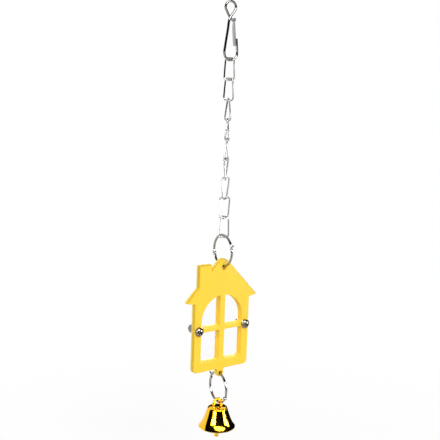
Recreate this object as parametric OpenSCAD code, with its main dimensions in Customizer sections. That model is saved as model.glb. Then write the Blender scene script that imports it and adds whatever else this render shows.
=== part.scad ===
// Bird mirror with bell: a snap hook, a twisted chain, a house-shaped mirror and a small bell.
// The origin is the middle of the hook's hanging eye. +Z is up and the mirror faces -Y.

/* [Snap hook] */
// Diameter of the hook's wire
hook_wire_d = 1.65; // [1.3:0.05:1.9]
// Radius of the hanging eye, to the middle of its wire
eye_r = 3.8; // [3.6:0.1:4.6]
// Drop from the eye's middle to the crossing at the neck
neck_drop = 6.7; // [6:0.1:8]
// Drop from the eye's middle to the bottom of the bow, to the middle of the wire
hook_drop = 35.2; // [33:0.1:42]
// Reach of the bow to the spine side
bow_back = 4.8; // [4.4:0.1:5.6]
// Reach of the bow to the nose side
bow_front = 5.9; // [5.4:0.1:6.8]
// Height above its bottom at which the bow is widest, on the spine side
bow_back_h = 5.4; // [4.6:0.1:6.4]
// Height above its bottom at which the bow is widest, on the nose side
bow_front_h = 4.4; // [3.6:0.1:5.4]
// Height of the nose above the bottom of the bow
nose_h = 14.3; // [12:0.1:17]
// How far the nose leans in from the bow's widest place
nose_lean = 0.9; // [0.6:0.1:1.4]
// Width of the spring tongue
tongue_w = 3.2; // [2.4:0.1:4]
// Thickness of the spring tongue
tongue_t = 0.5; // [0.3:0.05:0.7]
// How far the tongue reaches down inside the nose
tongue_lap = 4.8; // [3:0.1:6]
// Distance from the hook's middle to the pin of the tongue
tongue_pin_x = 1.9; // [1.7:0.1:2.2]
// Distance from the neck down to the pin of the tongue
tongue_pin_drop = 1.6; // [1.4:0.1:2.2]
// Diameter of the pin that the tongue's rolled end turns on
tongue_pin_d = 1.1; // [0.9:0.05:1.3]

/* [Chain] */
// Diameter of a link's wire
link_wire_d = 1.15; // [0.9:0.05:1.3]
// Width of a link, between the middles of its wires
link_w = 6.9; // [6:0.1:9]
// Distance from one link to the next
link_pitch = 13.6; // [12:0.05:18]
// Radius of a link's corners, to the middle of the wire
link_corner_r = 2; // [1.4:0.1:2.6]
// Twist of a link from its top to its bottom, in degrees
link_twist = 30; // [20:1:35]

/* [Hinged rings] */
// Diameter of a ring's wire
ring_wire_d = 1.7; // [1.3:0.05:1.9]
// Radius of a ring, to the middle of its wire
ring_r = 11; // [9.5:0.05:14]
// Diameter of the hinge's eyelets
ring_eyelet_d = 2.7; // [2.4:0.1:3.2]
// Diameter of the hinge's rivet
ring_rivet_d = 0.9; // [0.7:0.05:1.1]
// Diameter of the rivet's heads
ring_rivet_head_d = 1.6; // [1.3:0.05:1.9]
// Thickness of the rivet's heads
ring_rivet_head_t = 0.45; // [0.3:0.05:0.6]
// Length of the thumb tip at the closure, from the middle of the wire
ring_tip_l = 3.5; // [2.4:0.1:4.2]
// Diameter of the thumb tip and of the nib at the closure
ring_tip_d = 1.2; // [1:0.05:1.3]
// Turn of the upper ring's hinge below the horizontal, in degrees
upper_ring_turn = 20; // [10:1:40]
// Turn of the lower ring's hinge below the horizontal, in degrees
lower_ring_turn = 30; // [20:1:50]
// Heading of the upper ring away from square to the house, in degrees
upper_ring_yaw = -2; // [-8:1:8]
// Heading of the lower ring and the bell away from square to the house, in degrees
lower_ring_yaw = -4; // [-8:1:8]

/* [House] */
// Height of the house, from where the roof lines meet to the lower edge of the sill
house_h = 83.1; // [74:0.1:98]
// Width between the outer walls
house_w = 47.3; // [45:0.1:56]
// Width between the tips of the eaves
eave_w = 60.9; // [54:0.1:68]
// Drop from where the roof lines meet to the tips of the eaves
eave_drop = 31.4; // [28:0.1:34]
// How much lower the eaves meet the walls than their tips
eave_slope = 1.3; // [0.4:0.1:2]
// Radius of the rounded gable
gable_r = 5.5; // [4:0.1:6]
// Radius of the lower corners
corner_r = 2.8; // [1.5:0.1:4]
// Radius of the small edges of the roof, chimney and tab
edge_r = 0.4; // [0.2:0.05:0.5]
// Thickness of the front frame
front_t = 2.7; // [2:0.1:3.2]
// Thickness of the back frame
back_t = 1.7; // [1.5:0.1:2.6]
// Width of the chimney
chimney_w = 10.3; // [8:0.1:12]
// Distance from the middle of the house to the chimney's near side
chimney_x = 10.3; // [8.5:0.1:11]
// Drop from where the roof lines meet to the top of the chimney
chimney_drop = 5.4; // [4.6:0.1:7]
// Diameter of the hole at the gable
gable_hole_d = 3.7; // [3.4:0.1:4.4]
// Distance from where the roof lines meet down to the hole's middle
gable_hole_drop = 8.35; // [7.6:0.05:9.5]
// Width of the tab below the sill
tab_w = 5.5; // [5.2:0.1:7]
// Distance from the sill's lower edge down to the tab hole's middle
tab_hole_drop = 3.2; // [2.8:0.1:5]
// Radius where the tab joins the sill
tab_fillet_r = 1.2; // [0.4:0.1:1.5]
// Diameter of the hole in the tab
tab_hole_d = 3.2; // [2.9:0.1:3.6]

/* [Window and mirror] */
// Width of the window opening
window_w = 35; // [33:0.1:36]
// Drop from where the roof lines meet to the top of the window's arch
arch_drop = 28.6; // [26:0.1:31]
// Drop from where the roof lines meet to the middle of the transom
transom_drop = 52.3; // [50:0.1:56]
// Height of the transom
transom_h = 3.5; // [2.4:0.1:4.4]
// Width of the mullion
mullion_w = 4.7; // [3:0.1:6]
// Height of the sill below the window
sill_h = 7.2; // [6:0.1:10]
// Thickness of the mirror sheet
mirror_t = 0.9; // [0.6:0.05:1.2]
// How far the mirror reaches behind the frame's edges
mirror_lap = 1.5; // [1:0.1:2]

/* [Screws and nuts] */
// Diameter of the screws' thread
screw_d = 3; // [2.5:0.1:3.2]
// Diameter of the screws' heads
screw_head_d = 6.4; // [5.6:0.1:6.8]
// Height of the screws' heads
screw_head_h = 3.1; // [2.4:0.1:3.4]
// Radius of the crown of the screws' heads
screw_crown_r = 4.2; // [3.6:0.1:6]
// Width of the cross slot
slot_w = 1; // [0.6:0.05:1.2]
// Length of the cross slot
slot_l = 3.8; // [2.6:0.1:4.2]
// Depth of the cross slot
slot_t = 1.4; // [0.8:0.05:1.7]
// Distance from an outer wall to the middle of its screw
screw_inset = 3.5; // [3.3:0.1:3.6]
// Width of the cap nuts across their flats
nut_af = 6.2; // [5.5:0.1:7]
// Height of the hexagon of the cap nuts
nut_hex_h = 2.8; // [2.2:0.1:3.4]
// Height of the cap nuts, with the dome
nut_h = 7; // [6.2:0.1:8]
// Diameter of the dome of the cap nuts
nut_dome_d = 5.7; // [4.8:0.1:6]
// Plastic left between a screw's hole and the mirror's notch
screw_boss_t = 0.8; // [0.5:0.1:1.2]

/* [Bell] */
// Diameter of the bell's shoulder
shoulder_d = 14.6; // [12.6:0.2:16]
// Diameter of the bell's rim
rim_d = 26.7; // [23:0.1:30]
// Height of the bell, from crown to rim
bell_h = 15.2; // [14:0.2:22]
// Height of the bell's rounded crown
crown_h = 1.8; // [1.4:0.1:2.6]
// Diameter of the rolled bead at the rim
bead_d = 1.3; // [1:0.05:1.6]
// Thickness of the bell's wall
bell_wall = 0.7; // [0.5:0.05:1]
// Diameter of the wire of the bell's loop
loop_wire_d = 1.9; // [1.5:0.05:2]
// Width of the bell's loop, between the middles of its wires
loop_w = 6.6; // [5.8:0.1:7]
// Height of the bell's loop above the crown
loop_h = 6.1; // [5.6:0.1:7]
// Reach of the loop below the crown, to the middle of the wire
loop_reach = 4.6; // [4.2:0.1:6]
// Diameter of the clapper's wire
clapper_wire_d = 0.9; // [0.7:0.05:1.1]
// Radius of the clapper's hook, to the middle of its wire
clapper_hook_r = 1.6; // [1.5:0.05:2]
// Diameter of the clapper's bob
bob_d = 3.2; // [2.8:0.1:4.6]
// Diameter of the bob's upper end
bob_neck_d = 1.4; // [1.2:0.1:2]
// Length of the clapper's bob
bob_l = 8; // [6:0.1:9]
// How far the clapper hangs below the rim
clapper_out = 9; // [7:0.1:10]

/* [Fits] */
// Gap between pieces that hang in each other
hang_gap = 0.15; // [0.1:0.01:0.25]
// Gap around pins, screws and the mirror
fit_gap = 0.06; // [0.04:0.01:0.1]
// Gap between neighbours that pass each other
pass_gap = 0.25; // [0.15:0.05:0.4]

/* [Hidden] */

$fn = 48;
cut = 0.1;
hook_sides = 10;
link_sides = 8;
curve_steps = 4;
corner_steps = 4;
side_steps = 7;

nickel = "#c9cccf";
spring_steel = "#b4b7ba";
yellow = "#fbd23c";
silver_mirror = "#dfe6ea";
zinc = "#b9b8ae";
brass = "#d8a62c";

// Heading of each link's top wire, in degrees from +X, as the chain hangs
link_heading = [-75, -85, -120, -130, -130, -155, -175, -205, -250];

// Heights of the hanging contacts, worked down from the hook
link_l = link_pitch + link_wire_d + hang_gap;
chain_top_z = -hook_drop + (hook_wire_d + link_wire_d) / 2 + hang_gap;
chain_bottom_z = chain_top_z - link_l - (len(link_heading) - 1) * link_pitch;
upper_ring_z = chain_bottom_z + (link_wire_d + ring_wire_d) / 2 + hang_gap - ring_r;
ring_inner_drop = sqrt(pow(ring_r - ring_wire_d / 2, 2) - pow((front_t + back_t) / 2, 2));
gable_hole_z = upper_ring_z - ring_inner_drop + hang_gap - gable_hole_d / 2;
peak_z = gable_hole_z + gable_hole_drop;
sill_z = peak_z - house_h;
tab_hole_z = sill_z - tab_hole_drop;
transom_z = peak_z - transom_drop;
lower_ring_z = tab_hole_z - tab_hole_d / 2 + hang_gap - ring_inner_drop;
loop_top_z = lower_ring_z - ring_r + (ring_wire_d + loop_wire_d) / 2 + hang_gap;
crown_z = loop_top_z + loop_wire_d / 2 - loop_h;
rim_z = crown_z - bell_h;
loop_bottom_z = crown_z - loop_reach;
clapper_hook_z = loop_bottom_z + (loop_wire_d + clapper_wire_d) / 2 + hang_gap - clapper_hook_r;
clapper_end_z = rim_z - clapper_out;

// Depths of the house: its front, the seam between the frames and its back, with the rings in the middle
front_y = -(front_t + back_t) / 2;
seam_y = front_y + front_t;
back_y = seam_y + back_t;
screw_x = house_w / 2 - screw_inset;

// Places of the tongue: the pin at the neck and the free end inside the nose
tongue_pin = [tongue_pin_x, -neck_drop - tongue_pin_drop];
nose_tip = [bow_front - nose_lean, -hook_drop + nose_h];
tongue_end_z = nose_tip[1] - tongue_lap;
tongue_barrel_d = tongue_pin_d + 2 * fit_gap + 2 * tongue_t;

// Unit vector along v
function unit(v) = v / norm(v);

// Point on a smooth curve through b and c, with a and d as the points before and after them
function curve_point(a, b, c, d, t) =
    0.5 * (2 * b + (c - a) * t + (2 * a - 5 * b + 4 * c - d) * t * t + (3 * b - a - 3 * c + d) * t * t * t);

// Smooth open curve through a list of points
function curve_through(points, steps) = [
    for (i = [0 : len(points) - 2], k = [0 : steps - 1])
        curve_point(
            points[max(i - 1, 0)], points[i], points[i + 1], points[min(i + 2, len(points) - 1)], k / steps
        ),
    points[len(points) - 1]
];

// One ring of a swept wire: sides points around p, across the direction along
function wire_ring(p, along, across, r, sides) =
    let (b = unit(cross(along, across)), a = cross(b, along))
    [for (k = [0 : sides - 1]) p + r * (cos(360 * k / sides) * a + sin(360 * k / sides) * b)];

// Round wire swept along a path, with a reference direction at each point
module swept_wire(path, refs, d, sides, closed) {
    n = len(path);
    rings = [
        for (i = [0 : n - 1])
            let (
                before = closed ? path[(i + n - 1) % n] : path[max(i - 1, 0)],
                after = closed ? path[(i + 1) % n] : path[min(i + 1, n - 1)]
            )
            wire_ring(path[i], unit(after - before), refs[i], d / 2, sides)
    ];
    points = [for (ring = rings) each ring];
    spans = closed ? n : n - 1;
    walls = [
        for (i = [0 : spans - 1], k = [0 : sides - 1])
            let (
                a = i * sides + k,
                b = i * sides + (k + 1) % sides,
                c = ((i + 1) % n) * sides + (k + 1) % sides,
                e = ((i + 1) % n) * sides + k
            )
            each [[a, c, b], [a, e, c]]
    ];
    last = (n - 1) * sides;
    caps = closed ? [] : [
        for (k = [1 : sides - 2])
            each [[0, k, k + 1], [last, last + k + 1, last + k]]
    ];
    polyhedron(points, concat(walls, caps));
}

// Points of an outline whose corners [x, y, radius] are rounded by arcs
function rounded(corners, steps = 6) = [
    for (i = [0 : len(corners) - 1])
        let (
            n = len(corners),
            p = [corners[i][0], corners[i][1]],
            before = corners[(i + n - 1) % n],
            after = corners[(i + 1) % n],
            u = unit([before[0], before[1]] - p),
            v = unit([after[0], after[1]] - p),
            half = acos(u * v) / 2,
            reach = corners[i][2] / tan(half),
            middle = p + unit(u + v) * corners[i][2] / sin(half),
            from = p + u * reach - middle,
            turn = (180 - 2 * half) * sign(u[0] * v[1] - u[1] * v[0])
        )
        for (k = [0 : steps])
            let (a = -turn * k / steps)
            middle + [from[0] * cos(a) - from[1] * sin(a), from[0] * sin(a) + from[1] * cos(a)]
];

// Stands a flat shape up in the XZ plane, with its thickness from y = start to y = start + t
module upright(start, t) {
    translate([0, start + t, 0])
        rotate([90, 0, 0])
            linear_extrude(t)
                children();
}

// Round bar along Y, centred on x and z
module bar_y(x, z, start, l, d) {
    translate([x, start + l, z])
        rotate([90, 0, 0])
            cylinder(h = l, d = d);
}

// Middle of the hook's wire, from the nose round the bow, up the spine, round the eye and back to the tongue
eye_rise = hook_wire_d + pass_gap;
eye_from = -52;
eye_to = 232;
eye_steps = 7;
neck_side = hook_wire_d * 0.85;
tail_step = hook_wire_d * 0.2;
spine_foot_in = 0.5;
spine_foot_h = 3.8;
spine_head = [-neck_side, -neck_drop - neck_side];
spine_foot = [-bow_back + spine_foot_in, -hook_drop + bow_back_h + spine_foot_h];
nose_curve = [
    [nose_tip[0], 0, nose_tip[1]],
    [bow_front - nose_lean / 3, 0, -hook_drop + (nose_h + bow_front_h) / 2]
];
bow_curve = concat(
    [for (a = [90 : -30 : 30]) [bow_front * sin(a), 0, -hook_drop + bow_front_h * (1 - cos(a))]],
    [for (a = [0 : 30 : 90]) [-bow_back * sin(a), 0, -hook_drop + bow_back_h * (1 - cos(a))]]
);
spine_curve = [for (t = [0, 0.6, 1]) let (p = spine_foot + t * (spine_head - spine_foot)) [p[0], 0, p[1]]];
eye_curve = [
    for (k = [0 : eye_steps])
        let (a = eye_from + (eye_to - eye_from) * k / eye_steps)
        [eye_r * cos(a), eye_rise * k / eye_steps, eye_r * sin(a)]
];
tail_curve = [
    [-tail_step, eye_rise, -neck_drop + 2 * tail_step],
    [tongue_pin[0] - tail_step, eye_rise, tongue_pin[1] + tail_step],
    [tongue_pin[0] + tail_step, eye_rise, tongue_pin[1] - tail_step]
];

module hook_wire() {
    path = curve_through(concat(nose_curve, bow_curve, spine_curve, eye_curve, tail_curve), curve_steps);
    color(nickel) {
        swept_wire(path, [for (p = path) [0, 1, 0]], hook_wire_d, hook_sides, false);
        bar_y(tongue_pin[0], tongue_pin[1], -tongue_w / 2, tongue_w / 2 + eye_rise, tongue_pin_d);
    }
}

module hook_tongue() {
    barrel_back = eye_rise - hook_wire_d / 2 - pass_gap;
    wide_from = 0.16;
    root = tongue_pin - [tongue_t, tongue_pin_d + 2 * fit_gap + tongue_t] / 2;
    end = [nose_tip[0] - hook_wire_d / 2 - pass_gap - tongue_t, tongue_end_z];
    wide = root + (end - root) * wide_from;
    across = [tongue_t, 0];
    color(spring_steel) {
        difference() {
            bar_y(tongue_pin[0], tongue_pin[1], -tongue_w / 2, tongue_w / 2 + barrel_back, tongue_barrel_d);
            bar_y(
                tongue_pin[0], tongue_pin[1], -tongue_w / 2 - cut, tongue_w / 2 + barrel_back + 2 * cut,
                tongue_pin_d + 2 * fit_gap
            );
        }
        upright(-tongue_w / 2, tongue_w / 2 + barrel_back)
            polygon([root, root + across, end + across, end]);
        upright(-tongue_w / 2, tongue_w)
            polygon([wide, wide + across, end + across, end]);
    }
}

// Flat outline of a link's wire: [across, down], with the twist still to come
function link_outline() =
    let (
        r = link_corner_r,
        x = link_w / 2 - r,
        top = -r,
        bottom = r - link_l,
        side = (bottom - top) / side_steps,
        turn = 90 / corner_steps
    )
    concat(
        [for (k = [0 : corner_steps]) [x + r * sin(turn * k), top + r * cos(turn * k)]],
        [for (k = [1 : side_steps - 1]) [link_w / 2, top + side * k]],
        [for (k = [0 : corner_steps]) [x + r * cos(turn * k), bottom - r * sin(turn * k)]],
        [for (k = [0 : corner_steps]) [-x - r * sin(turn * k), bottom - r * cos(turn * k)]],
        [for (k = [1 : side_steps - 1]) [-link_w / 2, bottom - side * k]],
        [for (k = [0 : corner_steps]) [-x - r * cos(turn * k), top + r * sin(turn * k)]]
    );

module chain_link(i) {
    outline = link_outline();
    heading = [for (p = outline) link_heading[i - 1] - link_twist * p[1] / link_l];
    path = [
        for (k = [0 : len(outline) - 1])
            [outline[k][0] * cos(heading[k]), outline[k][0] * sin(heading[k]), outline[k][1]]
    ];
    refs = [for (a = heading) [-sin(a), cos(a), 0]];
    color(nickel)
        translate([0, 0, chain_top_z - (i - 1) * link_pitch])
            swept_wire(path, refs, link_wire_d, link_sides, true);
}

// Part of a ring's wire in the YZ plane, from one angle to another, counted from +Y towards +Z
module ring_arc(from, to) {
    rotate([90, 0, 90])
        rotate([0, 0, from])
            rotate_extrude(angle = to - from)
                translate([ring_r, 0])
                    circle(d = ring_wire_d);
}

// Bar along the ring's radius at an angle, between two distances from the ring's middle
module ring_spoke(angle, r_from, r_to, d) {
    rotate([angle, 0, 0])
        bar_y(0, 0, r_from, r_to - r_from, d);
}

closure_span = asin((ring_tip_d + pass_gap) / 2 / ring_r);
eyelet_proud = 0.1;
eyelet_face = ring_wire_d / 2 + eyelet_proud;

// Round bar square to the ring's plane at an angle, between two distances from that plane
module ring_pin(angle, from, to, d) {
    rotate([angle, 0, 0])
        translate([from, ring_r, 0])
            rotate([0, 90, 0])
                cylinder(h = to - from, d = d);
}

// Ring wire from one angle to another that ends in a flat eyelet at the hinge.
// The eyelet lies on one side of the ring's plane and leaves room for the other half's eyelet.
module ring_half_wire(from, to, hinge, side) {
    room_d = ring_eyelet_d + 2 * pass_gap;
    far = 2 * ring_wire_d;
    difference() {
        union() {
            ring_arc(from, to);
            ring_pin(hinge, side > 0 ? 0 : -eyelet_face, side > 0 ? eyelet_face : 0, ring_eyelet_d);
        }
        ring_pin(hinge, side > 0 ? -far : -fit_gap, side > 0 ? fit_gap : far, room_d);
        ring_pin(hinge, -far, far, ring_rivet_d + 2 * fit_gap);
    }
}

// Ring half over the top, from the closure to the hinge, with the thumb tip.
// The hinge lies turn degrees below the horizontal and the closure opposite to it.
module ring_top_half(turn) {
    hinge = 180 + turn;
    end = turn + closure_span;
    color(nickel) {
        ring_half_wire(end, hinge, hinge, 1);
        ring_spoke(end, ring_r, ring_r + ring_tip_l, ring_tip_d);
    }
}

// Ring half round the bottom, from the hinge to the closure, with the inner nib
module ring_bottom_half(turn) {
    hinge = turn - 180;
    end = turn - closure_span;
    color(nickel) {
        ring_half_wire(hinge, end, hinge, -1);
        ring_spoke(end, ring_r - ring_wire_d, ring_r, ring_tip_d);
    }
}

// Rivet of a ring's hinge, with a head on each side
module ring_rivet(turn) {
    head = eyelet_face + fit_gap;
    color(spring_steel) {
        ring_pin(180 + turn, -head, head, ring_rivet_d);
        for (start = [head, -head - ring_rivet_head_t])
            ring_pin(180 + turn, start, start + ring_rivet_head_t, ring_rivet_head_d);
    }
}

// The upper ring is turned round, so its hinge is behind and its closure in front
module place_upper_ring() {
    translate([0, 0, upper_ring_z])
        rotate([0, 0, 180 + upper_ring_yaw])
            children();
}

module place_lower_ring() {
    translate([0, 0, lower_ring_z])
        rotate([0, 0, lower_ring_yaw])
            children();
}

module upper_ring_top_half() {
    place_upper_ring() ring_top_half(upper_ring_turn);
}

module upper_ring_bottom_half() {
    place_upper_ring() ring_bottom_half(upper_ring_turn);
}

module upper_ring_rivet() {
    place_upper_ring() ring_rivet(upper_ring_turn);
}

module lower_ring_top_half() {
    place_lower_ring() ring_top_half(lower_ring_turn);
}

module lower_ring_bottom_half() {
    place_lower_ring() ring_bottom_half(lower_ring_turn);
}

module lower_ring_rivet() {
    place_lower_ring() ring_rivet(lower_ring_turn);
}

// Outline of the house, measured from where the roof lines meet
roof_slope = eave_drop / (eave_w / 2);
chimney_far = chimney_x + chimney_w;
tab_end = house_h + tab_hole_drop + tab_w / 2;
tab_r = tab_w / 2 - fit_gap;
house_corners = [
    [0, 0, gable_r],
    [eave_w / 2, -eave_drop, edge_r],
    [house_w / 2, -eave_drop - eave_slope, edge_r],
    [house_w / 2, -house_h, corner_r],
    [tab_w / 2, -house_h, tab_fillet_r],
    [tab_w / 2, -tab_end, tab_r],
    [-tab_w / 2, -tab_end, tab_r],
    [-tab_w / 2, -house_h, tab_fillet_r],
    [-house_w / 2, -house_h, corner_r],
    [-house_w / 2, -eave_drop - eave_slope, edge_r],
    [-eave_w / 2, -eave_drop, edge_r],
    [-chimney_far, -chimney_far * roof_slope, edge_r],
    [-chimney_far, -chimney_drop, edge_r],
    [-chimney_x, -chimney_drop, edge_r],
    [-chimney_x, -chimney_x * roof_slope, edge_r]
];

// Round-headed opening from the sill to the arch, wider all round by grow
module arch_shape(grow) {
    half = window_w / 2 + grow;
    spring = -arch_drop - window_w / 2;
    bottom = sill_h - house_h - grow;
    translate([0, spring])
        circle(r = half);
    translate([-half, bottom])
        square([2 * half, spring - bottom]);
}

module window_bars() {
    translate([-mullion_w / 2, -house_h])
        square([mullion_w, house_h]);
    translate([-house_w / 2, -transom_drop - transom_h / 2])
        square([house_w, transom_h]);
}

// Flat frame of one side of the house, with its window panes open
module frame_shape() {
    difference() {
        polygon(rounded(house_corners));
        difference() {
            arch_shape(0);
            window_bars();
        }
    }
}

// Holes that go through both frames: gable, tab and the two screws
module house_holes(start, t) {
    bar_y(0, gable_hole_z, start - cut, t + 2 * cut, gable_hole_d);
    bar_y(0, tab_hole_z, start - cut, t + 2 * cut, tab_hole_d);
    for (side = [-1, 1])
        bar_y(side * screw_x, transom_z, start - cut, t + 2 * cut, screw_d + 2 * fit_gap);
}

screw_boss_r = screw_d / 2 + screw_boss_t;

// Mirror outline, with a round notch clear of each screw's boss
module mirror_shape(grow) {
    difference() {
        arch_shape(mirror_lap + grow);
        for (side = [-1, 1])
            translate([side * screw_x, -transom_drop])
                circle(r = screw_boss_r + pass_gap - grow);
    }
}

module house_front() {
    color(yellow)
        difference() {
            translate([0, 0, peak_z])
                upright(front_y, front_t)
                    frame_shape();
            house_holes(front_y, front_t);
        }
}

module house_back() {
    color(yellow)
        difference() {
            translate([0, 0, peak_z])
                upright(seam_y, back_t)
                    frame_shape();
            translate([0, 0, peak_z])
                upright(seam_y - cut, mirror_t + fit_gap + cut)
                    mirror_shape(fit_gap);
            house_holes(seam_y, back_t);
        }
}

module mirror_sheet() {
    color(silver_mirror)
        translate([0, 0, peak_z])
            upright(seam_y, mirror_t)
                mirror_shape(0);
}

// Pan-head screw with a cross slot, its shank through both frames and into the nut
module screw(x) {
    shank_l = front_t + back_t + nut_hex_h;
    translate([x, front_y, transom_z])
        rotate([90, 0, 0])
            color(zinc) {
                translate([0, 0, -shank_l])
                    cylinder(h = shank_l, d = screw_d);
                difference() {
                    intersection() {
                        cylinder(h = screw_head_h, d = screw_head_d);
                        translate([0, 0, screw_head_h - screw_crown_r])
                            sphere(r = screw_crown_r);
                    }
                    for (turn = [30, 120])
                        rotate([0, 0, turn])
                            translate([-slot_l / 2, -slot_w / 2, screw_head_h - slot_t])
                                cube([slot_l, slot_w, screw_head_h]);
                }
            }
}

module screw_left() {
    screw(-screw_x);
}

module screw_right() {
    screw(screw_x);
}

// Cap nut behind the back frame, a hexagon with a dome and a blind hole
module cap_nut(x) {
    hole_l = nut_hex_h + pass_gap;
    translate([x, back_y, transom_z])
        rotate([-90, 0, 0])
            color(zinc)
                difference() {
                    union() {
                        rotate([0, 0, 30])
                            cylinder(h = nut_hex_h, d = nut_af / cos(30), $fn = 6);
                        cylinder(h = nut_h - nut_dome_d / 2, d = nut_dome_d);
                        translate([0, 0, nut_h - nut_dome_d / 2])
                            sphere(d = nut_dome_d);
                    }
                    translate([0, 0, -cut])
                        cylinder(h = hole_l + cut, d = screw_d + 2 * fit_gap);
                }
}

module cap_nut_left() {
    cap_nut(-screw_x);
}

module cap_nut_right() {
    cap_nut(screw_x);
}

// Outer radius of the bell's side, from the shoulder at t = 0 to the rim at t = 1
flare_share = 0.25;
flare_power = 5;
function bell_side_r(t) =
    shoulder_d / 2
    + (rim_d - shoulder_d) / 2 * ((1 - flare_share) * t + flare_share * pow(t, flare_power));

// Half section of the bell's outside, moved in by inset
bell_steps = 14;
crown_step = 15;
function bell_section(inset) = concat(
    [for (a = [90 : -crown_step : crown_step])
        [(shoulder_d / 2 - inset) * cos(a), crown_z - crown_h + (crown_h - inset) * sin(a)]],
    [for (k = [0 : bell_steps])
        [bell_side_r(k / bell_steps) - inset, crown_z - crown_h - (bell_h - crown_h) * k / bell_steps]]
);

// The bell, its loop and the clapper are square to the lower ring
module place_bell() {
    rotate([0, 0, lower_ring_yaw])
        children();
}

module bell_shell() {
    loop_hole_d = loop_wire_d + 2 * fit_gap;
    color(brass)
        place_bell()
            difference() {
                union() {
                    rotate_extrude()
                        difference() {
                            polygon(concat([[0, rim_z]], bell_section(0)));
                            polygon(concat(
                                [[0, rim_z - cut]],
                                bell_section(bell_wall),
                                [[rim_d / 2 - bell_wall, rim_z - cut]]
                            ));
                        }
                    translate([0, 0, rim_z])
                        rotate_extrude()
                            translate([rim_d / 2 - bead_d / 2, 0])
                                circle(d = bead_d);
                }
                for (side = [-1, 1])
                    translate([side * loop_w / 2, 0, crown_z - crown_h - bell_wall])
                        cylinder(h = 2 * crown_h, d = loop_hole_d);
            }
}

// Half ring of the loop's wire in the XZ plane: end = 1 is the top arch, end = -1 the bottom one
module loop_arch(z, end) {
    translate([0, 0, z])
        rotate([end * 90, 0, 0])
            rotate_extrude(angle = 180)
                translate([loop_w / 2, 0])
                    circle(d = loop_wire_d);
}

module bell_loop() {
    top = loop_top_z - loop_w / 2;
    bottom = loop_bottom_z + loop_w / 2;
    color(brass)
        place_bell() {
            loop_arch(top, 1);
            loop_arch(bottom, -1);
            for (side = [-1, 1])
                translate([side * loop_w / 2, 0, bottom])
                    cylinder(h = top - bottom, d = loop_wire_d);
        }
}

module clapper_stem() {
    stem_top = clapper_hook_z - clapper_hook_r;
    stem_end = clapper_end_z + bob_l;
    color(brass)
        place_bell() {
            translate([0, 0, clapper_hook_z])
                rotate([0, 90, 0])
                    rotate_extrude()
                        translate([clapper_hook_r, 0])
                            circle(d = clapper_wire_d);
            translate([0, 0, stem_end])
                cylinder(h = stem_top - stem_end, d = clapper_wire_d);
        }
}

module clapper_bob() {
    tip_z = clapper_end_z + bob_d / 2;
    color(brass) {
        translate([0, 0, tip_z])
            sphere(d = bob_d);
        translate([0, 0, tip_z])
            cylinder(h = bob_l - bob_d / 2, d1 = bob_d, d2 = bob_neck_d);
    }
}

hook_wire();
hook_tongue();
chain_link(1);  // chain_link_1
chain_link(2);  // chain_link_2
chain_link(3);  // chain_link_3
chain_link(4);  // chain_link_4
chain_link(5);  // chain_link_5
chain_link(6);  // chain_link_6
chain_link(7);  // chain_link_7
chain_link(8);  // chain_link_8
chain_link(9);  // chain_link_9
upper_ring_top_half();
upper_ring_bottom_half();
upper_ring_rivet();
house_front();
house_back();
mirror_sheet();
screw_left();
screw_right();
cap_nut_left();
cap_nut_right();
lower_ring_top_half();
lower_ring_bottom_half();
lower_ring_rivet();
bell_shell();
bell_loop();
clapper_stem();
clapper_bob();
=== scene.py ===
import math

import bmesh
import bpy
from mathutils import Matrix, Vector
from mathutils.geometry import tessellate_polygon


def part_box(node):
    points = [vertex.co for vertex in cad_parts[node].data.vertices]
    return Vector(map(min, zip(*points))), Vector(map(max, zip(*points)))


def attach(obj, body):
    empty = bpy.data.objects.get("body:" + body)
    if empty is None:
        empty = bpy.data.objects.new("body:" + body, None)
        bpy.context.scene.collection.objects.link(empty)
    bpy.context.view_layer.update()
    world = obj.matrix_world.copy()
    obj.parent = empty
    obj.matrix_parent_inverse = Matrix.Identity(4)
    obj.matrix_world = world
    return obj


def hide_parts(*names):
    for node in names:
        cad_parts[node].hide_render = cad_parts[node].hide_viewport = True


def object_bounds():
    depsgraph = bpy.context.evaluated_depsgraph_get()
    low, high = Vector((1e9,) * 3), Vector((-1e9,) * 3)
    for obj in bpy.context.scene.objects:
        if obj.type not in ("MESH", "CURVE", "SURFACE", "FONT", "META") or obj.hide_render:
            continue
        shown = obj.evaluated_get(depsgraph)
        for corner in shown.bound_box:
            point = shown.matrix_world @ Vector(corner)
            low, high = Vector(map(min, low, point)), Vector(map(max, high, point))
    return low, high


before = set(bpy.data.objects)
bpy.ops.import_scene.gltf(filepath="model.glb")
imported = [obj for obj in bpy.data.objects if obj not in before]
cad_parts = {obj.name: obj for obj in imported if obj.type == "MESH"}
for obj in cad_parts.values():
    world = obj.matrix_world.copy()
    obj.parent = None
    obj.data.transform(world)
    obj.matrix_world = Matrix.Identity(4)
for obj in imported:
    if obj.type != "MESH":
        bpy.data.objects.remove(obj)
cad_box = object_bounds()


# Snap hook
# One length of round nickel-plated steel wire, bent cold into a hanging eye, a crossed neck, a straight
# spine, a round bow and a nose. Its cut end behind the neck carries the short pin of the tongue.
MM = 0.001


def linear(hex_colour):
    """Turns an sRGB hex colour into linear RGBA."""
    channels = [int(hex_colour[i:i + 2], 16) / 255 for i in (0, 2, 4)]
    return (*(c / 12.92 if c <= 0.04045 else ((c + 0.055) / 1.055) ** 2.4 for c in channels), 1)


def node(tree, kind, inputs=None, **settings):
    """Adds one shader node with its settings, and sets or links its inputs by name or number. A node given
    for an input links its first output in use."""
    made = tree.nodes.new("ShaderNode" + kind)
    for name, value in settings.items():
        setattr(made, name, value)
    for name, value in (inputs or {}).items():
        if isinstance(value, bpy.types.Node):
            value = next(output for output in value.outputs if output.enabled)
        if isinstance(value, bpy.types.NodeSocket):
            tree.links.new(value, made.inputs[name])
        else:
            made.inputs[name].default_value = value
    return made


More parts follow.
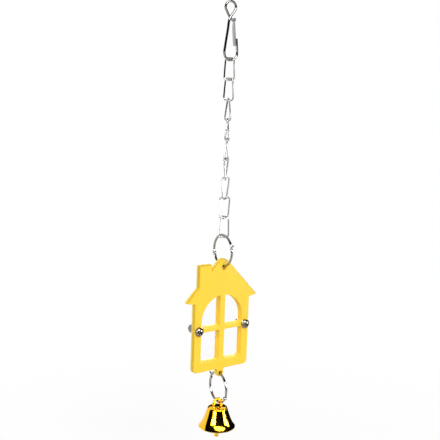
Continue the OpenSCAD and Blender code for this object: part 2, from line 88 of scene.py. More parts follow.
def new_material(name):
    """Empty node material and its tree."""
    material = bpy.data.materials.new(name)
    material.use_nodes = True
    material.node_tree.nodes.clear()
    return material, material.node_tree


def new_shape():
    """Empty mesh under construction, with a UV layer measured in millimetres."""
    shape = bmesh.new()
    shape.loops.layers.uv.new("mm")
    return shape


def skin(shape, rings, closed=False):
    """Skins a row of equal rings of points: closed joins the last ring to the first, or else the ends are
    capped. The UV runs round a ring and then along the row, in millimetres."""
    uv = shape.loops.layers.uv["mm"]
    made = [[shape.verts.new(p) for p in ring] for ring in rings]
    count = len(rings[0])
    middle = rings[len(rings) // 2]
    step = (middle[1] - middle[0]).length / MM
    along = [0.0]
    for before, after in zip(rings, [*rings[1:], rings[0]]):
        along.append(along[-1] + (after[0] - before[0]).length / MM)
    for i in range(len(rings) if closed else len(rings) - 1):
        after = made[(i + 1) % len(rings)]
        for k in range(count):
            m = (k + 1) % count
            face = shape.faces.new((made[i][k], made[i][m], after[m], after[k]))
            corners = ((k, i), (k + 1, i), (k + 1, i + 1), (k, i + 1))
            for loop, (across, row) in zip(face.loops, corners):
                loop[uv].uv = (across * step, along[row])
    if not closed:
        shape.faces.new(list(reversed(made[0])))
        shape.faces.new(made[-1])


def smooth_path(points, steps):
    """Smooth open curve through the points, with that many places from each point to the next."""
    path = []
    for i in range(len(points) - 1):
        a, b, c, d = (points[min(max(i + k, 0), len(points) - 1)] for k in (-1, 0, 1, 2))
        for k in range(steps):
            t = k / steps
            cubic = 3 * b - a - 3 * c + d
            path.append(0.5 * (2 * b + (c - a) * t + (2 * a - 5 * b + 4 * c - d) * t ** 2 + cubic * t ** 3))
    return [*path, points[-1]]


def wire_rings(path, radius, across, sides=20, closed=False):
    """Rings of a round wire along a path. radius and across, a direction off the path, may be lists.
    The ends of an open wire are tumbled round."""
    count = len(path)
    radii = radius if isinstance(radius, list) else [radius] * count
    hints = across if isinstance(across, list) else [across] * count
    rings = []

    def ring(p, along, hint, r):
        b = along.cross(hint).normalized()
        a = b.cross(along)
        turns = (2 * math.pi * k / sides for k in range(sides))
        return [p + r * (math.cos(t) * a + math.sin(t) * b) for t in turns]

    for i, p in enumerate(path):
        before = path[i - 1] if closed or i else p
        after = path[(i + 1) % count] if closed or i < count - 1 else p
        rings.append(ring(p, (after - before).normalized(), hints[i], radii[i]))
    if closed:
        return rings
    start_along = (path[0] - path[1]).normalized()
    end_along = (path[-1] - path[-2]).normalized()
    start, end = [], []
    for turn in (25, 50, 70, 84):
        rise, share = math.sin(math.radians(turn)), math.cos(math.radians(turn))
        first = path[0] + start_along * radii[0] * rise
        last = path[-1] + end_along * radii[-1] * rise
        start.insert(0, ring(first, -start_along, hints[0], radii[0] * share))
        end.append(ring(last, end_along, hints[-1], radii[-1] * share))
    return [*start, *rings, *end]


def new_object(name, shape, material):
    """Object of a finished shape, flat shaded."""
    mesh = bpy.data.meshes.new(name)
    shape.to_mesh(mesh)
    shape.free()
    mesh.materials.append(material)
    made = bpy.data.objects.new(name, mesh)
    bpy.context.scene.collection.objects.link(made)
    return made


def new_piece(name, shape, material, crease=35):
    """Object of a finished closed shape, smooth but for edges sharper than crease degrees."""
    bmesh.ops.recalc_face_normals(shape, faces=shape.faces)
    made = new_object(name, shape, material)
    made.data.shade_smooth()
    made.data.set_sharp_from_angle(angle=math.radians(crease))
    return made


def drawn_lines(tree, u_mm, v_mm, detail):
    """Lines left by drawing, rolling or polishing, from their sizes round the rings and along their row."""
    uv = node(tree, "UVMap", uv_map="mm")
    drawn = node(tree, "Mapping", {"Vector": uv, "Scale": (1 / u_mm, 1 / v_mm, 1)})
    return node(tree, "TexNoise", {"Vector": drawn, "Scale": 1.0, "Detail": detail})


def metal_finish(tree, tone, roughness, height, strength, depth_mm, lacquer=None):
    """Ends a metal's nodes with its fine relief, the metal itself under any lacquer, and the output."""
    relief = node(tree, "Bump", {"Height": height, "Strength": strength, "Distance": depth_mm * MM})
    looks = {"Base Color": tone, "Metallic": 1.0, "Roughness": roughness, "Normal": relief}
    metal = node(tree, "BsdfPrincipled", {**looks, **(lacquer or {})})
    node(tree, "OutputMaterial", {"Surface": metal})


def bright_nickel_plate(name, thick_tone, thin_tone):
    """Bright nickel on drawn steel wire: a clear grey mirror, faintly warm, with drawing lines along the wire
    and a slow change of tone where the plating is thinner. The lines are drawn coarser than real, to show."""
    line_w, line_l, patch = 0.12, 6.0, 3.0
    material, tree = new_material(name)
    lines = drawn_lines(tree, line_w, line_l, 3.0)
    place = node(tree, "TexCoord").outputs["Object"]
    patches = node(tree, "TexNoise", {"Vector": place, "Scale": 1 / (patch * MM), "Detail": 2.0})
    tone = node(tree, "Mix", {0: patches, 6: linear(thick_tone), 7: linear(thin_tone)}, data_type="RGBA")
    rough = node(tree, "MapRange", {
        "Value": lines, "From Min": 0.3, "From Max": 0.7, "To Min": 0.03, "To Max": 0.09,
    })
    metal_finish(tree, tone, rough, lines, 0.15, 0.01)
    return material


# The hook and rings take a darker copy of the chain's nickel: painted shade.
nickel = bright_nickel_plate("bright_nickel_plate", "ADACA9", "8D8B87")
ACROSS_HOOK = Vector((0, 1, 0))
hook_wire_d = 1.65 * MM
eye_r = 3.8 * MM
neck_drop = 6.7 * MM
hook_drop = 35.2 * MM
bow_back, bow_back_h = 4.8 * MM, 5.4 * MM
bow_front, bow_front_h = 5.9 * MM, 4.4 * MM
nose_h, nose_lean = 14.3 * MM, 0.9 * MM
spine_foot_in, spine_foot_h = 0.5 * MM, 3.8 * MM
neck_side, tail_step = 0.85 * hook_wire_d, 0.2 * hook_wire_d
pass_gap = 0.25 * MM
eye_rise = hook_wire_d + pass_gap
eye_from, eye_to, eye_steps = math.radians(-52), math.radians(232), 7
tongue_w, tongue_t = 3.2 * MM, 0.5 * MM
tongue_pin_d = 1.1 * MM
tongue_pin = Vector((1.9 * MM, 0, -neck_drop - 1.6 * MM))
nose_tip = Vector((bow_front - nose_lean, 0, nose_h - hook_drop))
spine_head = Vector((-neck_side, 0, -neck_drop - neck_side))
spine_foot = Vector((spine_foot_in - bow_back, 0, bow_back_h + spine_foot_h - hook_drop))
hook_bends = [nose_tip, Vector((bow_front - nose_lean / 3, 0, (nose_h + bow_front_h) / 2 - hook_drop))]
for turn in (90, 60, 30):
    a = math.radians(turn)
    hook_bends.append(Vector((bow_front * math.sin(a), 0, bow_front_h * (1 - math.cos(a)) - hook_drop)))
for turn in (0, 30, 60, 90):
    a = math.radians(turn)
    hook_bends.append(Vector((-bow_back * math.sin(a), 0, bow_back_h * (1 - math.cos(a)) - hook_drop)))
for share in (0, 0.6, 1):
    hook_bends.append(spine_foot.lerp(spine_head, share))
for k in range(eye_steps + 1):
    a = eye_from + (eye_to - eye_from) * k / eye_steps
    hook_bends.append(Vector((eye_r * math.cos(a), eye_rise * k / eye_steps, eye_r * math.sin(a))))
behind = Vector((0, eye_rise, 0))
hook_bends += [
    Vector((-tail_step, eye_rise, 2 * tail_step - neck_drop)),
    tongue_pin + behind + Vector((-tail_step, 0, tail_step)),
    tongue_pin + behind + Vector((tail_step, 0, -tail_step)),
]
shape = new_shape()
skin(shape, wire_rings(smooth_path(hook_bends, 10), hook_wire_d / 2, ACROSS_HOOK, sides=28))
pin_ends = [tongue_pin + behind, tongue_pin - Vector((0, tongue_w / 2 - tongue_pin_d / 2, 0))]
skin(shape, wire_rings(pin_ends, tongue_pin_d / 2, Vector((0, 0, 1))))
hook = new_piece("snap_hook", shape, nickel)
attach(hook, "hook")
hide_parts("hook_wire")


# Spring tongue
# A narrow strip of spring steel. Its upper end is rolled round the pin at the neck, and its free end
# springs out against the inside of the nose to close the hook.
def satin_spring_steel():
    """Rolled spring steel: an even satin grey, with rolling lines along the strip, drawn coarser to show."""
    line_w, line_l = 0.1, 12.0
    material, tree = new_material("satin_spring_steel")
    lines = drawn_lines(tree, line_w, line_l, 4.0)
    tone = node(tree, "Mix", {0: lines, 6: linear("C4C4C2"), 7: linear("A3A3A1")}, data_type="RGBA")
    rough = node(tree, "MapRange", {
        "Value": lines, "From Min": 0.3, "From Max": 0.7, "To Min": 0.26, "To Max": 0.4,
    })
    metal_finish(tree, tone, rough, lines, 0.2, 0.01)
    return material


spring_steel = satin_spring_steel()
fit_gap = 0.06 * MM
tongue_edge_r = 0.16 * MM
tongue_lap = 4.8 * MM
barrel_r = tongue_pin_d / 2 + fit_gap + tongue_t / 2
barrel_back = eye_rise - hook_wire_d / 2 - pass_gap
tongue_end = Vector((nose_tip.x - hook_wire_d / 2 - pass_gap - tongue_t / 2, 0, nose_tip.z - tongue_lap))
roll_from, roll_to, roll_step = 210, -60, -15
roll = []
for turn in range(roll_from, roll_to - 1, roll_step):
    a = math.radians(turn)
    roll.append(tongue_pin + barrel_r * Vector((math.cos(a), 0, math.sin(a))))
blade_top = tongue_pin - Vector((0, 0, barrel_r))
blade_steps = 24
blade = [blade_top.lerp(tongue_end, k / blade_steps) for k in range(1, blade_steps + 1)]
wide_from, wide_to = 0.12, 0.2
end_round, end_bulge = 0.08, 0.9
strip = [*roll[:-3], *smooth_path([*roll[-3:], *blade[:3]], 4), *blade[3:]]
rings = []
for i, p in enumerate(strip):
    along = (strip[min(i + 1, len(strip) - 1)] - strip[max(i - 1, 0)]).normalized()
    out = Vector((-along.z, 0, along.x))
    share = (blade_top.z - p.z) / (blade_top.z - tongue_end.z)
    widening = min(max((share - wide_from) / (wide_to - wide_from), 0), 1)
    back = barrel_back + (tongue_w / 2 - barrel_back) * widening
    front = -tongue_w / 2
    tip = max(share - 1 + end_round, 0) / end_round
    trim = tongue_w / 4 * (1 - math.sqrt(1 - end_bulge * tip ** 2))
    ring = []
    for side_y, side_n, turn_from in ((1, 1, 0), (-1, 1, 90), (-1, -1, 180), (1, -1, 270)):
        corner_y = (back - trim if side_y > 0 else front + trim) - side_y * tongue_edge_r
        corner_n = side_n * (tongue_t / 2 - tongue_edge_r)
        for turn in (0, 30, 60, 90):
            a = math.radians(turn_from + turn)
            y = corner_y + tongue_edge_r * math.cos(a)
            n = corner_n + tongue_edge_r * math.sin(a)
            ring.append(p + n * out + Vector((0, y, 0)))
    rings.append(ring)
shape = new_shape()
skin(shape, rings)
tongue = new_piece("spring_tongue", shape, spring_steel, crease=50)
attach(tongue, "tongue")
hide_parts("hook_tongue")


# Chain
# Nine oblong links of thin nickel-plated wire, each bent round, butted on one long side and twisted. They
# hang in one another, and each lies at its own angle about the vertical.
# The chain keeps the lighter copy of this nickel; the hook's and rings' darker copy is painted shade.
chain_nickel = bright_nickel_plate("bright_nickel_plate_chain", "C9C8C5", "ABA9A5")
link_wire_d = 1.15 * MM
link_w = 6.9 * MM
link_corner_r = 2 * MM
link_twist = math.radians(30)
link_headings = [-75, -85, -120, -130, -130, -155, -175, -205, -250]
butt_w, butt_depth, far_from_butt = 0.16 * MM, 0.14, 9
corner_steps, side_steps = 10, 27
for i, heading in enumerate(link_headings, start=1):
    low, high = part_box(f"chain_link_{i}")
    top_z, link_l = high.z - link_wire_d / 2, high.z - low.z - link_wire_d
    reach, r = link_w / 2 - link_corner_r, link_corner_r
    half_outline = []
    for k in range(corner_steps):
        a = math.pi / 2 * k / corner_steps
        half_outline.append((reach + r * math.sin(a), r * (math.cos(a) - 1)))
    for k in range(side_steps):
        half_outline.append((link_w / 2, -r - (link_l - 2 * r) * k / side_steps))
    for k in range(corner_steps + 1):
        a = math.pi / 2 * k / corner_steps
        half_outline.append((reach + r * math.cos(a), r - link_l - r * math.sin(a)))
    outline = half_outline + [(-x, -link_l - z) for x, z in half_outline]
    path, hints, radii = [], [], []
    for x, z in outline:
        a = math.radians(heading) - link_twist * z / link_l
        path.append(Vector((x * math.cos(a), x * math.sin(a), top_z + z)))
        hints.append(Vector((-math.sin(a), math.cos(a), 0)))
        off_butt = abs(z + link_l / 2) / butt_w if x < 0 else far_from_butt
        radii.append(link_wire_d / 2 * (1 - butt_depth * math.exp(-off_butt ** 2)))
    shape = new_shape()
    skin(shape, wire_rings(path, radii, hints, closed=True), closed=True)
    link = new_piece(f"link_{i}", shape, chain_nickel)
    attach(link, f"link_{i}")
    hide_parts(f"chain_link_{i}")


# Hinged rings
# Two split rings of nickel-plated wire, one above the house and one below it. Each is two half rings whose
# flattened ends turn on a rivet, and whose other ends snap shut, with a thumb tip to open them.
ring_wire_d = 1.7 * MM
ring_r = 11 * MM
eyelet_d = 2.7 * MM
eyelet_face = ring_wire_d / 2 + 0.1 * MM
eyelet_edge_r, eyelet_bore_edge_r = 0.22 * MM, 0.1 * MM
eyelet_lap = 0.4 * MM
rivet_d = 0.9 * MM
rivet_head_d, rivet_head_t = 1.6 * MM, 0.45 * MM
rivet_under, rivet_under_share = 0.02 * MM, 0.94
tip_l, tip_d = 3.5 * MM, 1.2 * MM
tip_places = (0, 0.04, 0.14, 0.8, 0.9, 0.97, 1)
tip_rounding = (0.5, 0.8, 1, 1, 0.9, 0.66, 0.3)
closure_span = math.asin((tip_d + pass_gap) / 2 / ring_r)
closure_thinning = 0.9
flat_l = 2.4 * MM
ACROSS_RING = Vector((1, 0, 0))


def ring_point(angle, r):
    """Point in a ring's own plane, counted from +Y towards +Z."""
    return Vector((0, r * math.cos(angle), r * math.sin(angle)))


def turned_rings(profile, axis_point, steps=36):
    """Rings of a shape turned about a line along X: profile is pairs of radius and place along X."""
    turns = [2 * math.pi * k / steps for k in range(steps)]
    return [
        [axis_point + Vector((x, r * math.cos(t), r * math.sin(t))) for t in turns] for r, x in profile
    ]


def half_ring(hinge, end, side, reach):
    """Half ring from its eyelet at the hinge to its tip at the closure. side says on which side of the ring
    the eyelet lies, and reach how far the tip stands out of the circle, or into it if below nought."""
    shape = new_shape()
    hinge_point = ring_point(hinge, ring_r)
    way = 1 if end > hinge else -1
    start = hinge + way * (eyelet_d / 2 - eyelet_lap) / ring_r
    steps = 72
    path = [ring_point(start + (end - start) * k / steps, ring_r) for k in range(steps + 1)]
    radii = [ring_wire_d / 2] * steps + [ring_wire_d / 2 * closure_thinning]
    rings = wire_rings(path, radii, ACROSS_RING, sides=24)
    tip_from, tip_to = ring_r - math.copysign(ring_wire_d / 2, reach), ring_r + reach
    tip_path = [ring_point(end, tip_from + (tip_to - tip_from) * share) for share in tip_places]
    skin(shape, wire_rings(tip_path, [tip_d / 2 * share for share in tip_rounding], ACROSS_RING, sides=24))
    flat_middle = side * (eyelet_face + fit_gap) / 2
    flat_half = (eyelet_face - fit_gap) / 2
    for ring in rings:
        middle = sum(ring, Vector()) / len(ring)
        from_eyelet = (middle - hinge_point).length - eyelet_d / 2 + eyelet_lap
        share = min(max(1 - from_eyelet / flat_l, 0), 1)
        share = share * share * (3 - 2 * share)
        for p in ring:
            p.x = p.x * (1 - share + share * 2 * flat_half / ring_wire_d) + share * flat_middle
    skin(shape, rings)
    profile = []
    inner, outer = rivet_d / 2 + fit_gap, eyelet_d / 2
    corners = ((outer, 1, 0), (inner, 1, 90), (inner, -1, 180), (outer, -1, 270))
    for r, face, turn_from in corners:
        edge = eyelet_edge_r if r == outer else eyelet_bore_edge_r
        corner_r = r - edge if r == outer else r + edge
        corner_x = flat_middle + face * (flat_half - edge)
        for turn in (0, 30, 60, 90):
            a = math.radians(turn_from + turn)
            profile.append((corner_r + edge * math.cos(a), corner_x + edge * math.sin(a)))
    skin(shape, turned_rings(profile, hinge_point), closed=True)
    return shape


def rivet_shape(hinge):
    """Hinge rivet with a low domed head on each side of the eyelets."""
    head = eyelet_face + fit_gap
    dome = [(math.cos(math.radians(a)), math.sin(math.radians(a))) for a in range(10, 89, 13)]
    under = [(rivet_d / 2, head - rivet_under), (rivet_head_d / 2 * rivet_under_share, head)]
    right = under + [(rivet_head_d / 2 * c, head + rivet_head_t * s) for c, s in dome]
    profile = [(r, -x) for r, x in reversed(right)] + right
    shape = new_shape()
    skin(shape, turned_rings(profile, ring_point(hinge, ring_r)))
    return shape


def hinged_ring(place, heading, turn):
    """Makes the two halves and the rivet of one ring, in the place named."""
    low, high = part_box(f"{place}_ring_top_half")
    spot = Matrix.Translation((0, 0, high.z - ring_wire_d / 2 - ring_r)) @ Matrix.Rotation(heading, 4, "Z")
    hinge = math.pi + turn
    halves = {
        "top": half_ring(hinge, turn + closure_span, 1, tip_l),
        "bottom": half_ring(turn - math.pi, turn - closure_span, -1, -ring_wire_d),
    }
    for half, shape in halves.items():
        shape.transform(spot)
        made = new_piece(f"{place}_ring_{half}", shape, nickel)
        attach(made, f"{place}_ring_{half}")
        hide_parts(f"{place}_ring_{half}_half")
    shape = rivet_shape(hinge)
    shape.transform(spot)
    rivet = new_piece(f"{place}_ring_hinge_rivet", shape, spring_steel)
    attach(rivet, f"{place}_ring_top")
    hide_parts(f"{place}_ring_rivet")


upper_heading, upper_turn = math.radians(178), math.radians(20)
lower_heading, lower_turn = math.radians(-4), math.radians(30)
hinged_ring("upper", upper_heading, upper_turn)
hinged_ring("lower", lower_heading, lower_turn)


# House, front and back frames
# Two flat frames moulded in yellow polystyrene, with a little draft and rounded edges, that meet back to
# back. The back one has a shallow pocket for the mirror, and two screws through the jambs clamp the pair.
house_h, house_w = 83.1 * MM, 47.3 * MM
eave_w, eave_drop, eave_slope = 60.9 * MM, 31.4 * MM, 1.3 * MM
gable_r, corner_r, edge_r = 5.5 * MM, 2.8 * MM, 0.4 * MM
chimney_x, chimney_w, chimney_drop = 10.3 * MM, 10.3 * MM, 5.4 * MM
gable_hole_d, gable_hole_drop = 3.7 * MM, 8.35 * MM
tab_w, tab_hole_d, tab_hole_drop, tab_fillet_r = 5.5 * MM, 3.2 * MM, 3.2 * MM, 1.2 * MM
window_w, arch_drop, sill_h = 35 * MM, 28.6 * MM, 7.2 * MM
transom_drop, transom_h, mullion_w = 52.3 * MM, 3.5 * MM, 4.7 * MM
pane_corner_r = 0.9 * MM
screw_x, screw_d = house_w / 2 - 3.5 * MM, 3 * MM
mirror_t, mirror_lap = 0.9 * MM, 1.5 * MM
screw_boss_t = 0.8 * MM
edge_round, seam_round, hole_round = 0.4 * MM, 0.22 * MM, 0.25 * MM
weld = 0.0005 * MM
house_low, house_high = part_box("house_front")
front_y, seam_y = house_low.y, house_high.y
back_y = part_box("house_back")[1].y
tab_end = house_h + tab_hole_drop + tab_w / 2
peak_z = house_low.z + tab_end


def rounded(corners, steps=8):
    """Closed outline through corners of x, z and radius, with an arc where the radius isn't nought."""
    outline = []
    for i, (x, z, radius) in enumerate(corners):
        corner = Vector((x, z))
        if not radius:
            outline.append(corner)
            continue
        before = (Vector(corners[i - 1][:2]) - corner).normalized()
        after = (Vector(corners[(i + 1) % len(corners)][:2]) - corner).normalized()
        half = before.angle(after) / 2
        middle = corner + (before + after).normalized() * radius / math.sin(half)
        start = corner + before * radius / math.tan(half) - middle
        turn = -math.copysign(math.pi - 2 * half, before.cross(after))
        for k in range(steps + 1):
            outline.append(middle + Matrix.Rotation(turn * k / steps, 2) @ start)
    return outline


def circle(x, z, d, steps=40):
    """Round outline about x and z."""
    turns = (2 * math.pi * k / steps for k in range(steps))
    return [Vector((x + d / 2 * math.cos(t), z + d / 2 * math.sin(t))) for t in turns]


def wound(outline, way):
    """The outline turned anticlockwise for way 1 and clockwise for way -1."""
    area = sum(a.cross(b) for a, b in zip(outline, [*outline[1:], outline[0]]))
    return outline if area * way > 0 else outline[::-1]


def inset(outline, depth):
    """The outline moved to its left by depth, which is into the plastic."""
    moved = []
    for i, p in enumerate(outline):
        a = (p - outline[i - 1]).normalized().orthogonal()
        b = (outline[(i + 1) % len(outline)] - p).normalized().orthogonal()
        moved.append(p + (a + b) * depth / (1 + a.dot(b)))
    return moved


def wall(shape, outline, y_from, y_to, round_from, round_to, draft=0):
    """Moulded wall along an outline, with both edges rounded. Returns its first and last rings of vertices.
    draft leans the wall: above nought into the plastic towards y_to, and below nought towards y_from."""
    rows = []
    for turn in (0, 22.5, 45, 67.5, 90):
        a = math.radians(turn)
        rows.append((round_from * (1 - math.sin(a)), y_from + round_from * (1 - math.cos(a))))
    for turn in (90, 67.5, 45, 22.5, 0):
        a = math.radians(turn)
        rows.append((round_to * (1 - math.sin(a)), y_to - round_to * (1 - math.cos(a))))
    lean = abs(math.tan(draft))
    widest = y_from if draft > 0 else y_to
    rings = []
    for depth, y in rows:
        loop = inset(outline, depth + lean * abs(y - widest))
        rings.append([shape.verts.new((p.x, y, peak_z + p.y)) for p in loop])
    for before, after in zip(rings, rings[1:]):
        for k in range(len(outline)):
            m = (k + 1) % len(outline)
            shape.faces.new((before[k], before[m], after[m], after[k]))
    return rings[0], rings[-1]


def face_between(shape, rings):
    """Flat face inside the first ring of vertices and round the others."""
    corners = [v for ring in rings for v in ring]
    for a, b, c in tessellate_polygon([[v.co for v in ring] for ring in rings]):
        shape.faces.new((corners[a], corners[b], corners[c]))


def moulded_yellow_styrene(name, painted_wall_tone):
    """Injection-moulded polystyrene: an even warm yellow with a soft gloss, faint flow marks and a fine skin.
    The duller walls take a painted tone: shade where deeper than the faces, light where paler."""
    flow, skin_grain, rub_w, rub_l = 14.0, 0.35, 0.25, 9.0
    rub_turn, wall_rough = math.radians(35), 0.6
    material, tree = new_material(name)
    coords = node(tree, "TexCoord")
    place = coords.outputs["Object"]
    flow_marks = node(tree, "TexNoise", {
        "Vector": place, "Scale": 1 / (flow * MM), "Detail": 3.0, "Distortion": 0.8,
    })
    tone = node(tree, "Mix", {0: flow_marks, 6: linear("FCCF12"), 7: linear("FFD628")}, data_type="RGBA")
    facing = node(tree, "SeparateXYZ", {0: coords.outputs["Normal"]})
    flat = node(tree, "Math", {0: facing.outputs["Y"]}, operation="ABSOLUTE")
    on_face = node(tree, "MapRange", {"Value": flat, "From Min": 0.2, "From Max": 0.7})
    # Painted light and shade: faces turned sideways take the given wall tone in place of the face yellow.
    colour = node(tree, "Mix", {0: on_face, 6: linear(painted_wall_tone), 7: tone}, data_type="RGBA")
    grain = node(tree, "TexNoise", {"Vector": place, "Scale": 1 / (skin_grain * MM), "Detail": 2.0})
    rubbed = node(tree, "Mapping", {
        "Vector": place, "Rotation": (0, rub_turn, 0),
        "Scale": (1 / (rub_w * MM), 1 / (rub_l * MM), 1 / (rub_l * MM)),
    })
    rubs = node(tree, "TexNoise", {"Vector": rubbed, "Scale": 1.0, "Detail": 2.0})
    rough = node(tree, "MapRange", {
        "Value": rubs, "From Min": 0.35, "From Max": 0.75, "To Min": 0.26, "To Max": 0.4,
    })
    dull = node(tree, "Mix", {0: on_face, 2: wall_rough, 3: rough}, data_type="FLOAT")
    bump = node(tree, "Bump", {"Height": grain, "Strength": 0.12, "Distance": 0.02 * MM})
    plastic = node(tree, "BsdfPrincipled", {
        "Base Color": colour, "Roughness": dull, "IOR": 1.55, "Normal": bump,
    })
    node(tree, "OutputMaterial", {"Surface": plastic})
    return material


roof_slope = eave_drop / (eave_w / 2)
chimney_far = chimney_x + chimney_w
tab_r = tab_w / 2 - fit_gap
right_side = [
    (eave_w / 2, -eave_drop, edge_r),
    (house_w / 2, -eave_drop - eave_slope, edge_r),
    (house_w / 2, -house_h, corner_r),
    (tab_w / 2, -house_h, tab_fillet_r),
    (tab_w / 2, -tab_end, tab_r),
]
chimney = [
    (-chimney_far, -chimney_far * roof_slope, edge_r),
    (-chimney_far, -chimney_drop, edge_r),
    (-chimney_x, -chimney_drop, edge_r),
    (-chimney_x, -chimney_x * roof_slope, edge_r),
]
left_side = [(-x, z, r) for x, z, r in reversed(right_side)]
house_outline = wound(rounded([(0, 0, gable_r), *right_side, *left_side, *chimney]), 1)

spring_z = -arch_drop - window_w / 2
transom_top, transom_foot = transom_h / 2 - transom_drop, -transom_h / 2 - transom_drop
arch_steps = 28
arch_end = math.acos(mullion_w / window_w)
upper_pane = [(mullion_w / 2, transom_top, pane_corner_r), (window_w / 2, transom_top, pane_corner_r)]
for k in range(arch_steps + 1):
    a = arch_end * k / arch_steps
    upper_pane.append((window_w / 2 * math.cos(a), spring_z + window_w / 2 * math.sin(a), 0))
lower_pane = [
    (mullion_w / 2, transom_foot, pane_corner_r), (window_w / 2, transom_foot, pane_corner_r),
    (window_w / 2, sill_h - house_h, pane_corner_r), (mullion_w / 2, sill_h - house_h, pane_corner_r),
]
panes = []
for pane in (upper_pane, lower_pane):
    for side in (1, -1):
        panes.append(wound(rounded([(side * x, z, r) for x, z, r in pane]), -1))
holes = [
    wound(circle(0, -gable_hole_drop, gable_hole_d), -1),
    wound(circle(0, -house_h - tab_hole_drop, tab_hole_d), -1),
]
for side in (1, -1):
    holes.append(wound(circle(side * screw_x, -transom_drop, screw_d + 2 * fit_gap), -1))

draft = math.radians(3)
shape = new_shape()
walls = [wall(shape, house_outline, front_y, seam_y, edge_round, seam_round, -draft)]
walls += [wall(shape, pane, front_y, seam_y, edge_round, 0, -draft) for pane in panes]
walls += [wall(shape, hole, front_y, seam_y, hole_round, 0) for hole in holes]
face_between(shape, [front for front, back in walls])
face_between(shape, [back for front, back in walls])
bmesh.ops.remove_doubles(shape, verts=shape.verts, dist=weld)
# The front frame's walls are a deeper yellow: painted shade on its sides and in its window and hole walls.
front_styrene = moulded_yellow_styrene("moulded_yellow_styrene_front_shaded_walls", "F5C404")
front_frame = new_piece("front_frame", shape, front_styrene, crease=50)
front_frame.modifiers.new("flat_faces", "WEIGHTED_NORMAL").keep_sharp = True
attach(front_frame, "house")
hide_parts("house_front")

pocket_y = seam_y + mirror_t + fit_gap
pocket_half = window_w / 2 + mirror_lap + fit_gap
notch_r = screw_d / 2 + screw_boss_t + pass_gap - fit_gap
notch_from = math.acos((pocket_half - screw_x) / notch_r)
pocket_foot = sill_h - house_h - mirror_lap - fit_gap
notch_steps = 16
right_notch = []
for k in range(notch_steps + 1):
    a = -notch_from - (2 * math.pi - 2 * notch_from) * k / notch_steps
    right_notch.append((screw_x + notch_r * math.cos(a), notch_r * math.sin(a) - transom_drop, 0))
pocket_arch = []
for k in range(2 * arch_steps + 1):
    a = math.pi * k / (2 * arch_steps)
    pocket_arch.append((pocket_half * math.cos(a), spring_z + pocket_half * math.sin(a), 0))
left_notch = [(-x, z, r) for x, z, r in reversed(right_notch)]
foot = [(-pocket_half, pocket_foot, 0), (pocket_half, pocket_foot, 0)]
pocket = wound(rounded([*foot, *right_notch, *pocket_arch, *left_notch]), -1)
shape = new_shape()
outer = wall(shape, house_outline, seam_y, back_y, seam_round, edge_round, draft)
pocket_wall = wall(shape, pocket, seam_y, pocket_y, 0, 0)
pane_walls = [wall(shape, pane, pocket_y, back_y, 0, edge_round, draft) for pane in panes]
hole_walls = [wall(shape, hole, seam_y, back_y, 0, hole_round) for hole in holes]
face_between(shape, [outer[0], pocket_wall[0], *(first for first, last in hole_walls)])
face_between(shape, [pocket_wall[1], *(first for first, last in pane_walls)])
face_between(shape, [outer[1], *(last for first, last in [*pane_walls, *hole_walls])])
bmesh.ops.remove_doubles(shape, verts=shape.verts, dist=weld)
# The back frame's walls are a paler yellow: painted light on its sides and in its window and hole walls.
back_styrene = moulded_yellow_styrene("moulded_yellow_styrene_back_lit_walls", "FFE878")
back_frame = new_piece("back_frame", shape, back_styrene, crease=50)
back_frame.modifiers.new("flat_faces", "WEIGHTED_NORMAL").keep_sharp = True
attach(back_frame, "house")
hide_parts("house_back")


# Mirror
# A sheet of silvered acrylic, cut to an arch with a notch for each screw and held in the back frame's
# pocket. The pack's own sheet has the right shape, so it stays and only takes the finish.
def silvered_acrylic():
    """Silvered acrylic: a clear bright reflection, with a trace of haze where the film is wiped."""
    wipe = 5.0
    material, tree = new_material("silvered_acrylic")
    place = node(tree, "TexCoord").outputs["Object"]
    wiped = node(tree, "TexNoise", {
        "Vector": place, "Scale": 1 / (wipe * MM), "Detail": 4.0, "Distortion": 1.5,
    })
    tone = node(tree, "Mix", {0: wiped, 6: linear("FEFEFE"), 7: linear("F9FAFA")}, data_type="RGBA")
    rough = node(tree, "MapRange", {
        "Value": wiped, "From Min": 0.4, "From Max": 0.8, "To Min": 0.015, "To Max": 0.05,
    })
    silver = node(tree, "BsdfPrincipled", {"Base Color": tone, "Metallic": 1.0, "Roughness": rough})
    node(tree, "OutputMaterial", {"Surface": silver})
    return material


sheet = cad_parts["mirror_sheet"]
sheet.material_slots[0].material = silvered_acrylic()


# Screws
# Two cold-headed pan-head machine screws of zinc-plated steel, with a cross recess. They go through both
# frames at the ends of the transom and into the nuts behind.
def zinc_plate():
    """Bright zinc on steel: a cool grey with a faint straw tint and a slightly spangled, rubbed surface."""
    spangle, rub = 0.7, 0.2
    material, tree = new_material("zinc_plated_steel")
    place = node(tree, "TexCoord").outputs["Object"]
    spangles = node(tree, "TexVoronoi", {"Vector": place, "Scale": 1 / (spangle * MM)})
    rubs = node(tree, "TexNoise", {"Vector": place, "Scale": 1 / (rub * MM), "Detail": 3.0})
    tone = node(tree, "Mix", {0: spangles, 6: linear("A09A8E"), 7: linear("746E64")}, data_type="RGBA")
    rough = node(tree, "MapRange", {
        "Value": rubs, "From Min": 0.3, "From Max": 0.7, "To Min": 0.1, "To Max": 0.22,
    })
    metal_finish(tree, tone, rough, rubs, 0.15, 0.02)
    return material


def slot_shadow():
    """Painted shade in a driven slot, near-black with grains of dirt, so that it reads as a dark cross."""
    grain, rough = 0.2, 0.45
    material, tree = new_material("painted_slot_shade_steel")
    place = node(tree, "TexCoord").outputs["Object"]
    grains = node(tree, "TexNoise", {"Vector": place, "Scale": 1 / (grain * MM), "Detail": 3.0})
    # Painted shade: near-black tone over the whole slot, flecked with grains.
    tone = node(tree, "Mix", {0: grains, 6: linear("2A2624"), 7: linear("4A4440")}, data_type="RGBA")
    metal_finish(tree, tone, rough, grains, 0.3, 0.02)
    return material


